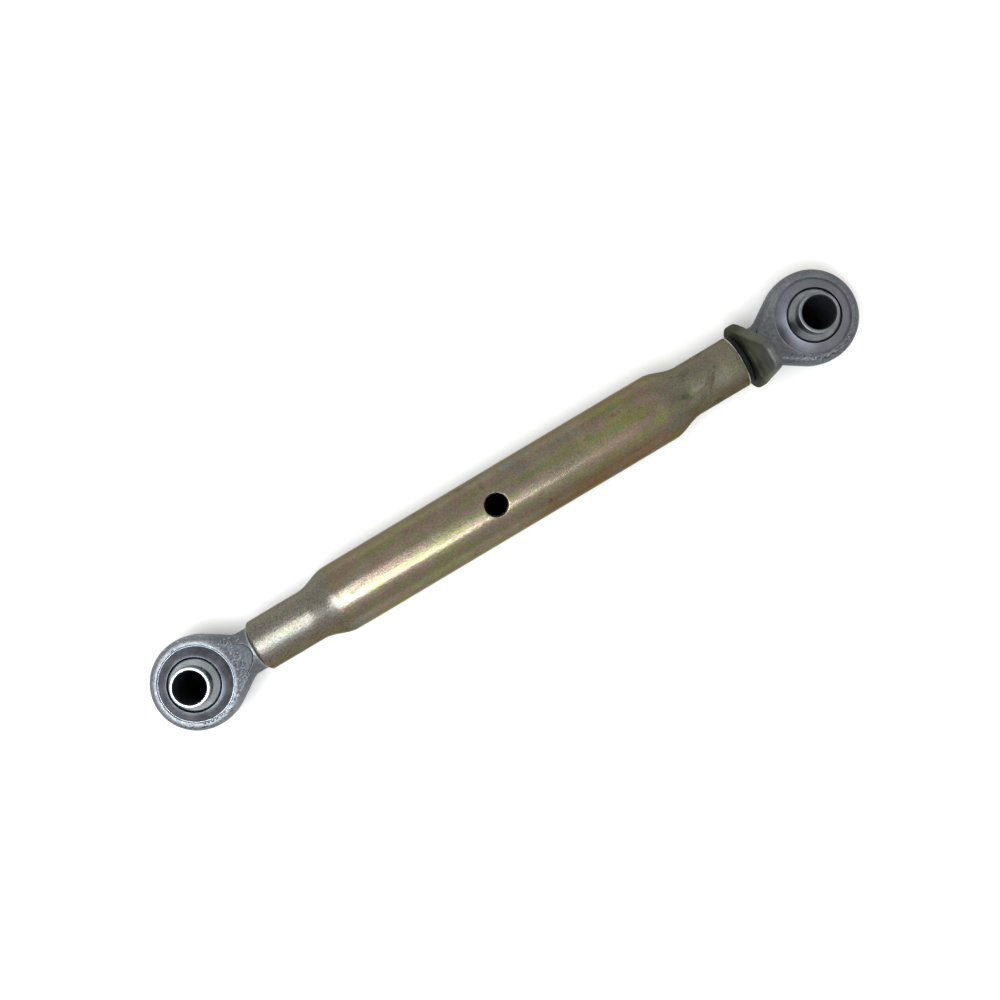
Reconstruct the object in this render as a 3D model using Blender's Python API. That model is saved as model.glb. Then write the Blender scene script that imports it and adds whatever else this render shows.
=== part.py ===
# Tractor top link, Category 1: two forged ball ends screwed into a swaged tube barrel.
# X runs along the link, Z along the pin bores; the link lies on the lower ends of its balls.

from math import acos, asin, atan2, cos, hypot, pi, radians, sin, sqrt, tau

import bmesh
import bpy

MM = 0.001

# Fits that several pieces share
RUN_GAP = 0.3 * MM
OVERRUN = 2.0 * MM
WELD = 0.001 * MM

# Ball with its sleeve, one in each eye
PIN_BORE_RADIUS = 9.65 * MM
SLEEVE_WALL = 2.25 * MM
BALL_WIDTH = 44.5 * MM
BALL_RADIUS = 19.3 * MM
BALL_NECK_FILLET = 1.5 * MM
SLEEVE_CHAMFER = 0.6 * MM

# Seat rings, a front and a rear one in each eye
SEAT_WALL = 3.0 * MM
SEAT_LIP_RADIUS = 16.2 * MM
SEAT_LIP_HEIGHT = 12.0 * MM
SEAT_LIP_LAND = 0.6 * MM

# Forged eye
EYE_RADIUS = 28.0 * MM
EYE_THICKNESS = 17.0 * MM
EYE_EDGE_ROUND = 4.0 * MM
EYE_BORE_CHAMFER = 0.4 * MM
EYE_FLANK_ANGLE = radians(33.5)
FLANK_FILLET = 18.0 * MM

# Neck and threaded shank of an eye
SHOULDER_DISTANCE = 39.0 * MM
NECK_RADIUS = 13.5 * MM
NECK_START = 31.0 * MM
NECK_DRAFT = 0.35 * MM
FACE_END = 37.2 * MM
FACE_END_RADIUS = 12.5 * MM
SHOULDER_ROUND = 0.6 * MM
THREAD_RADIUS = 11.0 * MM
THREAD_LENGTH = 140.0 * MM
THREAD_CHAMFER = 2.0 * MM

# Swaged barrel
BARREL_LENGTH = 330.6 * MM
BARREL_RADIUS = 21.1 * MM
BARREL_WALL = 4.0 * MM
BARREL_NECK_RADIUS = 16.0 * MM
LEFT_NECK_LENGTH = 37.6 * MM
RIGHT_NECK_LENGTH = 33.7 * MM
SWAGE_LENGTH = 20.7 * MM
LEFT_END_ROUND = 3.0 * MM
RIGHT_END_ROUND = 0.5 * MM
BARREL_BORE_CHAMFER = 0.8 * MM
BAR_HOLE_RADIUS = 7.0 * MM

# Seal ring
SEAL_THICKNESS = 2.7 * MM
SEAL_RADIUS = 15.7 * MM
SEAL_EDGE_ROUND = 0.8 * MM

# Lock nut with its lever
NUT_THICKNESS = 7.4 * MM
NUT_RADIUS = 20.5 * MM
LEVER_REACH = 59.0 * MM
LEVER_TIP_WIDTH = 18.0 * MM
LEVER_TIP_THICKNESS = 5.5 * MM
LEVER_TIP_ROUND = 4.5 * MM
LEVER_LEAN = radians(6.8)
NUT_EDGE_ROUND = 1.8 * MM

# Fineness of the facets
ROUND_STEPS = 40
BALL_STEPS = 10
EYE_STEPS = 32
ARC_STEPS = 5
EDGE_STEPS = 2
SHARP_ANGLE = radians(35)

# Sizes that follow from those above
axis_height = BALL_WIDTH / 2
sleeve_radius = PIN_BORE_RADIUS + SLEEVE_WALL
seat_radius = BALL_RADIUS + RUN_GAP
seat_outer_radius = seat_radius + SEAT_WALL
eye_bore_radius = seat_outer_radius + RUN_GAP
eye_half = EYE_THICKNESS / 2
thread_bore_radius = THREAD_RADIUS + RUN_GAP

# Stations along the link, counted from the left ball, then centred
left_shoulder = SHOULDER_DISTANCE
barrel_start = left_shoulder + RUN_GAP
barrel_end = barrel_start + BARREL_LENGTH
seal_start = barrel_end + RUN_GAP
nut_start = seal_start + SEAL_THICKNESS + RUN_GAP
right_shoulder = nut_start + NUT_THICKNESS + RUN_GAP
ball_distance = right_shoulder + SHOULDER_DISTANCE
left_ball_x = -ball_distance / 2
right_ball_x = ball_distance / 2

# Turned pieces are modelled about local Z, and this turn lays that axis along the link
ALONG_LINK = (pi / 2, 0, pi / 2)


def clear_scene():
    for obj in list(bpy.data.objects):
        bpy.data.objects.remove(obj, do_unlink=True)


def metal(name, colour, roughness, metallic):
    material = bpy.data.materials.new(name)
    material.use_nodes = True
    shader = material.node_tree.nodes["Principled BSDF"]
    shader.inputs["Base Color"].default_value = (*colour, 1)
    shader.inputs["Roughness"].default_value = roughness
    shader.inputs["Metallic"].default_value = metallic
    material.diffuse_color = (*colour, 1)
    return material


def mesh_from(name, bm):
    bmesh.ops.remove_doubles(bm, verts=bm.verts, dist=WELD)
    bmesh.ops.recalc_face_normals(bm, faces=bm.faces)
    mesh = bpy.data.meshes.new(name)
    bm.to_mesh(mesh)
    bm.free()
    mesh.shade_smooth()
    mesh.set_sharp_from_angle(angle=SHARP_ANGLE)
    return mesh


def place(name, mesh, location=(0, 0, 0), rotation=(0, 0, 0), parent=None, material=None):
    obj = bpy.data.objects.new(name, mesh)
    bpy.context.scene.collection.objects.link(obj)
    obj.parent = parent
    obj.location = location
    obj.rotation_euler = rotation
    if material:
        mesh.materials.clear()
        mesh.materials.append(material)
    return obj


def cut_or_join(target, tool, operation):
    tool.parent = target
    tool.hide_render = True
    tool.display_type = "WIRE"
    modifier = target.modifiers.new(tool.name, "BOOLEAN")
    modifier.operation = operation
    modifier.solver = "EXACT"
    modifier.object = tool


def arc(centre, radius, start, end, steps):
    # Points of an arc in the plane, both ends included
    turn = (end - start) / steps
    return [
        (centre[0] + radius * cos(start + turn * i), centre[1] + radius * sin(start + turn * i))
        for i in range(steps + 1)
    ]


def turned(name, outline, steps=ROUND_STEPS, closed=True):
    # Solid of revolution about Z from an outline of (radius, height) points
    bm = bmesh.new()
    verts = [bm.verts.new((radius, 0, height)) for radius, height in outline]
    pairs = list(zip(verts, verts[1:]))
    if closed:
        pairs.append((verts[-1], verts[0]))
    edges = [bm.edges.new(pair) for pair in pairs]
    bmesh.ops.spin(
        bm, geom=verts + edges, axis=(0, 0, 1), cent=(0, 0, 0), angle=tau, steps=steps, use_merge=True
    )
    return mesh_from(name, bm)


def lofted(name, sections):
    # Solid through stacked sections that have the same number of points, closed at both ends
    bm = bmesh.new()
    rings = [[bm.verts.new(point) for point in section] for section in sections]
    count = len(rings[0])
    for lower, upper in zip(rings, rings[1:]):
        for i in range(count):
            j = (i + 1) % count
            bm.faces.new((lower[i], lower[j], upper[j], upper[i]))
    bm.faces.new(rings[0])
    bm.faces.new(rings[-1])
    return mesh_from(name, bm)


def extruded(name, outline, bottom, top):
    return lofted(name, [[(x, y, z) for x, y in outline] for z in (bottom, top)])


def ball_mesh():
    # Sphere and sleeve in one piece, with a concave fillet where they meet
    half = BALL_WIDTH / 2
    fillet_reach = BALL_RADIUS + BALL_NECK_FILLET
    fillet_x = sleeve_radius + BALL_NECK_FILLET
    fillet_z = sqrt(fillet_reach**2 - fillet_x**2)
    join_angle = atan2(fillet_z, fillet_x)
    sphere = arc((0, 0), BALL_RADIUS, -join_angle, join_angle, BALL_STEPS)
    fillet = arc((fillet_x, fillet_z), BALL_NECK_FILLET, join_angle - pi, -pi, EDGE_STEPS)
    upper = fillet[1:]
    upper.append((sleeve_radius, half - SLEEVE_CHAMFER))
    upper.append((sleeve_radius - SLEEVE_CHAMFER, half))
    upper.append((PIN_BORE_RADIUS + SLEEVE_CHAMFER, half))
    upper.append((PIN_BORE_RADIUS, half - SLEEVE_CHAMFER))
    lower = [(radius, -height) for radius, height in reversed(upper)]
    return turned("ball", lower + sphere + upper)


def seat_ring_mesh():
    # Half of the ball seat: spherical inside, coned outside, open towards the sleeve
    split = RUN_GAP / 2
    rim_height = eye_half - EYE_BORE_CHAMFER
    low = asin(split / seat_radius)
    high = acos(SEAT_LIP_RADIUS / seat_radius)
    outline = arc((0, 0), seat_radius, low, high, ARC_STEPS)
    outline.append((SEAT_LIP_RADIUS, SEAT_LIP_HEIGHT))
    outline.append((SEAT_LIP_RADIUS + SEAT_LIP_LAND, SEAT_LIP_HEIGHT))
    outline.append((seat_outer_radius, rim_height))
    outline.append((seat_outer_radius, split))
    return turned("seat_ring", outline)


def eye_section(height):
    # Disc with two flanks that run into the neck; both shrink towards the faces as forged
    straight = eye_half - EYE_EDGE_ROUND
    over = min(max(abs(height) - straight, 0), EYE_EDGE_ROUND)
    disc = EYE_RADIUS - EYE_EDGE_ROUND + sqrt(EYE_EDGE_ROUND**2 - over**2)
    neck = sqrt((NECK_RADIUS - NECK_DRAFT) ** 2 - height**2)
    tilt = EYE_FLANK_ANGLE
    fillet_x = (disc + FLANK_FILLET - (neck + FLANK_FILLET) * cos(tilt)) / sin(tilt)
    half = arc((0, 0), disc, pi, pi / 2 - tilt, EYE_STEPS // 2)
    half += arc((fillet_x, neck + FLANK_FILLET), FLANK_FILLET, -pi / 2 - tilt, -pi / 2, ARC_STEPS)
    half.append((FACE_END, neck))
    other = [(x, -y) for x, y in reversed(half[1:])]
    return [(x, y, height) for x, y in half + other]


def eye_levels():
    # Heights of the loft's sections: close together where the edge rounds over
    straight = eye_half - EYE_EDGE_ROUND
    turn = pi / 2 / EDGE_STEPS
    rounded = [straight + EYE_EDGE_ROUND * sin(turn * i) for i in range(EDGE_STEPS + 1)]
    upper = [straight / 2] + rounded + [eye_half + OVERRUN / 2]
    return [-level for level in reversed(upper)] + [0] + upper


def neck_and_shank_mesh():
    # Turned about the link axis: round neck, shoulder, then the shank that carries the thread
    tip = SHOULDER_DISTANCE + THREAD_LENGTH
    outline = [(0, NECK_START), (NECK_RADIUS, NECK_START)]
    round_centre = (NECK_RADIUS - SHOULDER_ROUND, SHOULDER_DISTANCE - SHOULDER_ROUND)
    outline += arc(round_centre, SHOULDER_ROUND, 0, pi / 2, EDGE_STEPS)
    outline.append((THREAD_RADIUS, SHOULDER_DISTANCE))
    outline.append((THREAD_RADIUS, tip - THREAD_CHAMFER))
    outline.append((THREAD_RADIUS - THREAD_CHAMFER, tip))
    outline.append((0, tip))
    return turned("neck_and_shank", outline, closed=False)


def face_cutter_mesh(name, side):
    # Trims one face of the eye flat and ends on the neck in an arc, as the die left it
    centre_x = FACE_END - FACE_END_RADIUS
    back = -EYE_RADIUS - OVERRUN
    width = EYE_RADIUS + OVERRUN
    outline = [(centre_x, width), (back, width), (back, -width), (centre_x, -width)]
    outline += arc((centre_x, 0), FACE_END_RADIUS, -pi / 2, pi / 2, EYE_STEPS // 2)
    top = NECK_RADIUS + OVERRUN
    return extruded(name, outline, side * eye_half, side * top)


def eye_bore_mesh():
    # Straight bore with a small chamfer at both faces
    end = eye_half + OVERRUN
    flare = eye_bore_radius + EYE_BORE_CHAMFER + OVERRUN
    start = eye_half - EYE_BORE_CHAMFER
    outline = [(0, -end), (flare, -end), (eye_bore_radius, -start)]
    outline += [(eye_bore_radius, start), (flare, end), (0, end)]
    return turned("eye_bore", outline, closed=False)


def add_eye_forging(name, x, rotation, material):
    loft = lofted(name, [eye_section(level) for level in eye_levels()])
    eye = place(name, loft, (x, 0, axis_height), rotation, material=material)
    neck = place(name + ".neck_guide", neck_and_shank_mesh(), rotation=ALONG_LINK)
    cut_or_join(eye, neck, "UNION")
    for side, label in ((1, "top"), (-1, "bottom")):
        cutter_name = f"{name}.{label}_face_cutter"
        cut_or_join(eye, place(cutter_name, face_cutter_mesh(cutter_name, side)), "DIFFERENCE")
    cut_or_join(eye, place(name + ".bore_cutter", eye_bore_mesh()), "DIFFERENCE")
    return eye


def swage(start, start_radius, end, end_radius, steps):
    # S-shaped run between two diameters, both ends included
    points = []
    for i in range(steps + 1):
        share = i / steps
        ease = (1 - cos(pi * share)) / 2
        points.append((start_radius + (end_radius - start_radius) * ease, start + (end - start) * share))
    return points


def barrel_mesh():
    # One tube swaged down to a threaded neck at each end, turned about the link axis
    left = LEFT_NECK_LENGTH
    right = BARREL_LENGTH - RIGHT_NECK_LENGTH
    left_full = left + SWAGE_LENGTH
    right_full = right - SWAGE_LENGTH
    inner = BARREL_RADIUS - BARREL_WALL
    bore = thread_bore_radius
    left_centre = (BARREL_NECK_RADIUS - LEFT_END_ROUND, LEFT_END_ROUND)
    right_centre = (BARREL_NECK_RADIUS - RIGHT_END_ROUND, BARREL_LENGTH - RIGHT_END_ROUND)
    outline = arc(left_centre, LEFT_END_ROUND, -pi / 2, 0, EDGE_STEPS)
    outline += swage(left, BARREL_NECK_RADIUS, left_full, BARREL_RADIUS, ARC_STEPS)
    outline += swage(right_full, BARREL_RADIUS, right, BARREL_NECK_RADIUS, ARC_STEPS)
    outline += arc(right_centre, RIGHT_END_ROUND, 0, pi / 2, EDGE_STEPS)
    outline.append((bore + BARREL_BORE_CHAMFER, BARREL_LENGTH))
    outline.append((bore, BARREL_LENGTH - BARREL_BORE_CHAMFER))
    outline += swage(right, bore, right_full, inner, ARC_STEPS)
    outline += swage(left_full, inner, left, bore, ARC_STEPS)
    outline.append((bore, BARREL_BORE_CHAMFER))
    outline.append((bore + BARREL_BORE_CHAMFER, 0))
    return turned("barrel_tube", outline)


def bar_hole_mesh():
    reach = BARREL_RADIUS + OVERRUN
    outline = [(0, -reach), (BAR_HOLE_RADIUS, -reach), (BAR_HOLE_RADIUS, reach), (0, reach)]
    return turned("bar_hole", outline, closed=False)


def add_barrel(material):
    start_x = left_ball_x + barrel_start
    barrel = place("barrel_tube", barrel_mesh(), (start_x, 0, axis_height), ALONG_LINK, material=material)
    hole = place("barrel_tube.bar_hole_cutter", bar_hole_mesh(), (0, 0, BARREL_LENGTH / 2))
    hole.rotation_euler = (pi / 2, 0, 0)
    cut_or_join(barrel, hole, "DIFFERENCE")
    return barrel


def seal_ring_mesh():
    # Flat rubber ring about the shank, with its outer edges rounded
    round_x = SEAL_RADIUS - SEAL_EDGE_ROUND
    far = SEAL_THICKNESS - SEAL_EDGE_ROUND
    outline = [(thread_bore_radius, 0)]
    outline += arc((round_x, SEAL_EDGE_ROUND), SEAL_EDGE_ROUND, -pi / 2, 0, EDGE_STEPS)
    outline += arc((round_x, far), SEAL_EDGE_ROUND, 0, pi / 2, EDGE_STEPS)
    outline.append((thread_bore_radius, SEAL_THICKNESS))
    return turned("seal_ring", outline)


def lever_outline():
    # Nut disc drawn out into a tapered lever with a rounded square tip
    corner_x = LEVER_TIP_WIDTH / 2 - LEVER_TIP_ROUND
    corner_y = LEVER_REACH - LEVER_TIP_ROUND
    distance = hypot(corner_x, corner_y)
    lean_in = acos((NUT_RADIUS - LEVER_TIP_ROUND) / distance)
    flank = atan2(corner_y, corner_x) - lean_in
    outline = arc((0, 0), NUT_RADIUS, pi - flank, tau + flank, EYE_STEPS)
    outline += arc((corner_x, corner_y), LEVER_TIP_ROUND, flank, pi / 2, ARC_STEPS)
    outline += arc((-corner_x, corner_y), LEVER_TIP_ROUND, pi / 2, pi - flank, ARC_STEPS)
    return outline


def lever_taper_mesh(name):
    # Wedge that thins the lever from the nut disc to the tip, on the side towards the eye
    start = thread_bore_radius + RUN_GAP
    drop = NUT_THICKNESS - LEVER_TIP_THICKNESS
    slope = drop / (LEVER_REACH - start)
    end = LEVER_REACH + OVERRUN
    width = NUT_RADIUS + OVERRUN
    rise = start - OVERRUN / slope
    profile = [
        (rise, NUT_THICKNESS + OVERRUN),
        (end, NUT_THICKNESS - slope * (end - start)),
        (end, NUT_THICKNESS + OVERRUN),
    ]
    return lofted(name, [[(x, y, z) for y, z in profile] for x in (-width, width)])


def add_lock_nut(material):
    nut_x = left_ball_x + nut_start
    disc = extruded("lock_nut", lever_outline(), 0, NUT_THICKNESS)
    nut = place("lock_nut", disc, (nut_x, 0, axis_height), ALONG_LINK, material=material)
    nut.rotation_euler.rotate_axis("Z", LEVER_LEAN)
    taper = place("lock_nut.taper_cutter", lever_taper_mesh("taper_cutter"))
    cut_or_join(nut, taper, "DIFFERENCE")
    rounding = nut.modifiers.new("worn edges", "BEVEL")
    rounding.width = NUT_EDGE_ROUND
    rounding.segments = 2
    rounding.limit_method = "ANGLE"
    rounding.angle_limit = SHARP_ANGLE
    reach = NUT_THICKNESS + OVERRUN
    bore = [(0, -OVERRUN), (thread_bore_radius, -OVERRUN), (thread_bore_radius, reach), (0, reach)]
    cutter = place("lock_nut.bore_cutter", turned("nut_bore", bore, closed=False))
    cut_or_join(nut, cutter, "DIFFERENCE")
    return nut


def add_ball_end(side, x, rotation, forged, machined, ball_metal):
    eye = add_eye_forging(f"{side}_eye_forging", x, rotation, forged)
    seat = seat_ring_mesh()
    place(f"{side}_front_seat_ring", seat, parent=eye, material=machined)
    place(f"{side}_rear_seat_ring", seat, rotation=(pi, 0, 0), parent=eye)
    place(f"{side}_ball", ball_mesh(), parent=eye, material=ball_metal)


clear_scene()
forged_zinc = metal("forged_zinc", (0.40, 0.42, 0.45), 0.5, 0.85)
machined_zinc = metal("machined_zinc", (0.30, 0.31, 0.34), 0.38, 0.9)
ball_zinc = metal("ball_zinc", (0.55, 0.58, 0.60), 0.3, 0.95)
yellow_zinc = metal("yellow_zinc", (0.46, 0.41, 0.25), 0.36, 0.9)
olive_zinc = metal("olive_zinc", (0.24, 0.24, 0.19), 0.5, 0.8)
black_rubber = metal("black_rubber", (0.012, 0.012, 0.015), 0.75, 0)

add_ball_end("left", left_ball_x, (0, 0, 0), forged_zinc, machined_zinc, ball_zinc)
add_ball_end("right", right_ball_x, (0, 0, pi), forged_zinc, machined_zinc, ball_zinc)
add_barrel(yellow_zinc)
seal_x = left_ball_x + seal_start
place("seal_ring", seal_ring_mesh(), (seal_x, 0, axis_height), ALONG_LINK, material=black_rubber)
add_lock_nut(olive_zinc)
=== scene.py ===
from math import acos, asin, atan2, cos, hypot, pi, radians, sin, sqrt, tan, tau

import bmesh
import bpy
import numpy as np
from mathutils import Matrix, Vector, noise


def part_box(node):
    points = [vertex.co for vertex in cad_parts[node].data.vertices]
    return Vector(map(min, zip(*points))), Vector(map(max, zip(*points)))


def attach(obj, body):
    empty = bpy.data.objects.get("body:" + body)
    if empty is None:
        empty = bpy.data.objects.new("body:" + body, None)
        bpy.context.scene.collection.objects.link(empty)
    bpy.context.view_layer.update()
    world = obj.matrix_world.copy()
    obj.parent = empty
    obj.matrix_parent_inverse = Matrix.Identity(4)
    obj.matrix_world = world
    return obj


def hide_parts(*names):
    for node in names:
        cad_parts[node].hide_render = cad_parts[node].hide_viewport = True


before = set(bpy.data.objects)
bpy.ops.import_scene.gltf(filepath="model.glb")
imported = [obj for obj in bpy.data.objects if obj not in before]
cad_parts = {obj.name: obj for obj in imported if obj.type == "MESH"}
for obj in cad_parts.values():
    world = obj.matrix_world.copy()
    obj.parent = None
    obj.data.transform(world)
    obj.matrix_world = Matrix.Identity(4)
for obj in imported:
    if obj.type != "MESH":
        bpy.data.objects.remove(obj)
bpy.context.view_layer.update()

# Looks of the tractor top link: every CAD node is replaced by a finely modelled piece in its place.
# +X runs along the link towards the lock nut, +Z up along the pin bores.

mm = 0.001

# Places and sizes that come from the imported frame
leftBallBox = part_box("left_ball")
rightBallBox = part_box("right_ball")
axisHeight = (leftBallBox[0].z + leftBallBox[1].z) / 2
leftBallX = (leftBallBox[0].x + leftBallBox[1].x) / 2
rightBallX = (rightBallBox[0].x + rightBallBox[1].x) / 2
ballHalfWidth = leftBallBox[1].z - axisHeight
ballRadius = (leftBallBox[1].x - leftBallBox[0].x) / 2
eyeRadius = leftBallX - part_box("left_eye_forging")[0].x
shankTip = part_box("left_eye_forging")[1].x - leftBallX
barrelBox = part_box("barrel_tube")
barrelLength = barrelBox[1].x - barrelBox[0].x
barrelRadius = barrelBox[1].z - axisHeight
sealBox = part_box("seal_ring")
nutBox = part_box("lock_nut")

# A bmesh turned about Z is laid along the link by this: its Z becomes +X and its Y becomes up
alongLink = Matrix.Rotation(pi / 2, 4, "Z") @ Matrix.Rotation(pi / 2, 4, "X")


# Mesh helpers

def arcPoints(centreA, centreB, radius, start, end, steps):
    turn = (end - start) / steps
    points = []
    for i in range(steps + 1):
        angle = start + turn * i
        points.append((centreA + radius * cos(angle), centreB + radius * sin(angle)))
    return points


def ease(share):
    share = min(max(share, 0), 1)
    return share * share * (3 - 2 * share)


def turnedMesh(outline, steps, closed=True):
    # outline holds (radius, height) points; the mesh is turned about Z
    bm = bmesh.new()
    verts = [bm.verts.new((radius, 0, height)) for radius, height in outline]
    pairs = list(zip(verts, verts[1:]))
    if closed:
        pairs.append((verts[-1], verts[0]))
    edges = [bm.edges.new(pair) for pair in pairs]
    bmesh.ops.spin(
        bm, geom=verts + edges, axis=(0, 0, 1), cent=(0, 0, 0), angle=tau, steps=steps, use_merge=True
    )
    bmesh.ops.remove_doubles(bm, verts=bm.verts, dist=0.002 * mm)
    bmesh.ops.recalc_face_normals(bm, faces=bm.faces)
    return bm


def loftedMesh(sections):
    bm = bmesh.new()
    rings = [[bm.verts.new(point) for point in section] for section in sections]
    count = len(rings[0])
    for lower, upper in zip(rings, rings[1:]):
        for i in range(count):
            j = (i + 1) % count
            bm.faces.new((lower[i], lower[j], upper[j], upper[i]))
    bm.faces.new(rings[0])
    bm.faces.new(rings[-1])
    bmesh.ops.recalc_face_normals(bm, faces=bm.faces)
    return bm


def newPiece(name, bm, location=(0, 0, 0), materials=(), sharpAngle=32):
    mesh = bpy.data.meshes.new(name)
    bm.to_mesh(mesh)
    bm.free()
    piece = bpy.data.objects.new(name, mesh)
    bpy.context.scene.collection.objects.link(piece)
    piece.location = location
    for material in materials:
        mesh.materials.append(material)
    mesh.shade_smooth()
    mesh.set_sharp_from_angle(angle=radians(sharpAngle))
    return piece


def applyModifiers(piece):
    bpy.context.view_layer.update()
    shown = piece.evaluated_get(bpy.context.evaluated_depsgraph_get())
    mesh = bpy.data.meshes.new_from_object(shown)
    piece.modifiers.clear()
    piece.data = mesh


def cutWith(piece, tool, operation="DIFFERENCE"):
    modifier = piece.modifiers.new("cut", "BOOLEAN")
    modifier.operation = operation
    modifier.solver = "EXACT"
    modifier.object = tool
    applyModifiers(piece)
    bpy.data.objects.remove(tool, do_unlink=True)


def pushAlongNormals(piece, amountAt):
    # amountAt(point, normal) gives how far a vertex moves, in metres; seen from the piece's own origin
    mesh = piece.data
    moved = []
    for vert in mesh.vertices:
        moved.append(vert.co + vert.normal * amountAt(vert.co, vert.normal))
    mesh.vertices.foreach_set("co", np.array(moved, np.float32).ravel())
    mesh.update()


def markFaces(bm, isSecond):
    # The faces whose middle passes isSecond get the piece's second material
    for face in bm.faces:
        face.material_index = int(isSecond(face.calc_center_median()))


def seatOnBody(piece, body, nodeName):
    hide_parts(nodeName)
    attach(piece, body)


# Material helpers: each adds to the node tree that its first socket or node is in

def feed(socket, value):
    # Another node's output is linked to the socket; a number, a vector or a colour is set on it
    if isinstance(value, bpy.types.NodeSocket):
        socket.id_data.links.new(value, socket)
    elif isinstance(value, tuple):
        socket.default_value = value if len(socket.default_value) == 3 else (*value, 1)
    else:
        socket.default_value = value


def addNode(near, kind, inputs, **settings):
    node = near.id_data.nodes.new(f"ShaderNode{kind}")
    for key, value in settings.items():
        setattr(node, key, value)
    for key, value in inputs.items():
        feed(node.inputs[key], value)
    return node


def newMaterial(name, metallic=0, tint=(1, 1, 1), specular=0.5):
    material = bpy.data.materials.new(name)
    material.use_nodes = True
    shader = material.node_tree.nodes["Principled BSDF"]
    feed(shader.inputs["Metallic"], metallic)
    feed(shader.inputs["Specular Tint"], tint)
    feed(shader.inputs["Specular IOR Level"], specular)
    return material, shader


def setSurface(shader, colour, roughness, normal=None):
    feed(shader.inputs["Base Color"], colour)
    feed(shader.inputs["Roughness"], roughness)
    if normal is not None:
        feed(shader.inputs["Normal"], normal)


def piecePoints(near):
    return addNode(near, "TexCoord", {}).outputs["Object"]


def stretched(points, scale):
    return addNode(points, "Mapping", {"Vector": points, "Scale": scale}).outputs["Vector"]


def noiseValue(points, scale, detail, roughness, distortion=0):
    inputs = {"Vector": points, "Scale": scale, "Detail": detail}
    inputs.update({"Roughness": roughness, "Distortion": distortion})
    return addNode(points, "TexNoise", inputs).outputs["Fac"]


def rampColour(value, stops):
    node = addNode(value, "ValToRGB", {"Fac": value})
    elements = node.color_ramp.elements
    while len(elements) < len(stops):
        elements.new(1)
    for element, (position, colour) in zip(elements, stops):
        element.position = position
        element.color = (*colour, 1)
    return node.outputs["Color"]


def mapValue(value, fromLow, fromHigh, toLow=0, toHigh=1):
    inputs = {"Value": value, "From Min": fromLow, "From Max": fromHigh, "To Min": toLow, "To Max": toHigh}
    return addNode(value, "MapRange", inputs).outputs["Result"]


def noiseRange(noiseOutput, low, high):
    # A noise keeps mostly between 0.3 and 0.7, which this spreads from low to high
    return mapValue(noiseOutput, 0.3, 0.7, low, high)


def bandValue(value, start, full, fade, end):
    # 1 from full to fade, and 0 before start and past end
    return times(mapValue(value, start, full), mapValue(value, fade, end, 1, 0))


def mathValue(operation, first, second=0):
    near = first if isinstance(first, bpy.types.NodeSocket) else second
    return addNode(near, "Math", {0: first, 1: second}, operation=operation).outputs["Value"]


def plus(first, second):
    return mathValue("ADD", first, second)


def less(first, second):
    return mathValue("SUBTRACT", first, second)


def most(first, second):
    return mathValue("MAXIMUM", first, second)


def times(*values):
    result = values[0]
    for value in values[1:]:
        result = mathValue("MULTIPLY", result, value)
    return result


def blendValues(share, first, second):
    # first where share is 0, second where it is 1
    return plus(times(share, less(second, first)), first)


def mixColours(factor, first, second, blend="MIX"):
    near = factor if isinstance(factor, bpy.types.NodeSocket) else first
    node = addNode(near, "Mix", {}, data_type="RGBA", blend_type=blend)
    sockets = {socket.identifier: socket for socket in node.inputs}
    feed(sockets["Factor_Float"], factor)
    feed(sockets["A_Color"], first)
    feed(sockets["B_Color"], second)
    return next(socket for socket in node.outputs if socket.identifier == "Result_Color")


def shadeBy(colour, value):
    # Multiplies a colour by a grey value
    return addNode(colour, "VectorMath", {0: colour, "Scale": value}, operation="SCALE").outputs["Vector"]


def bumpNormal(height, distance, strength=1, under=None):
    inputs = {"Strength": strength, "Distance": distance, "Height": height}
    if under is not None:
        inputs["Normal"] = under
    return addNode(height, "Bump", inputs).outputs["Normal"]


def axisValue(points, axis):
    return addNode(points, "SeparateXYZ", {"Vector": points}).outputs[axis]


def radiusValue(points):
    # Distance from the piece's own Z axis
    flat = addNode(points, "VectorMath", {0: points, 1: (1, 1, 0)}, operation="MULTIPLY")
    return addNode(points, "VectorMath", {0: flat.outputs["Vector"]}, operation="LENGTH").outputs["Value"]


def surfaceValue(near, output):
    # Pointiness is high on outside edges and low in hollows
    return addNode(near, "NewGeometry", {}).outputs[output]


# Finishes: a noise is given as scale, detail, roughness and distortion

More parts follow.
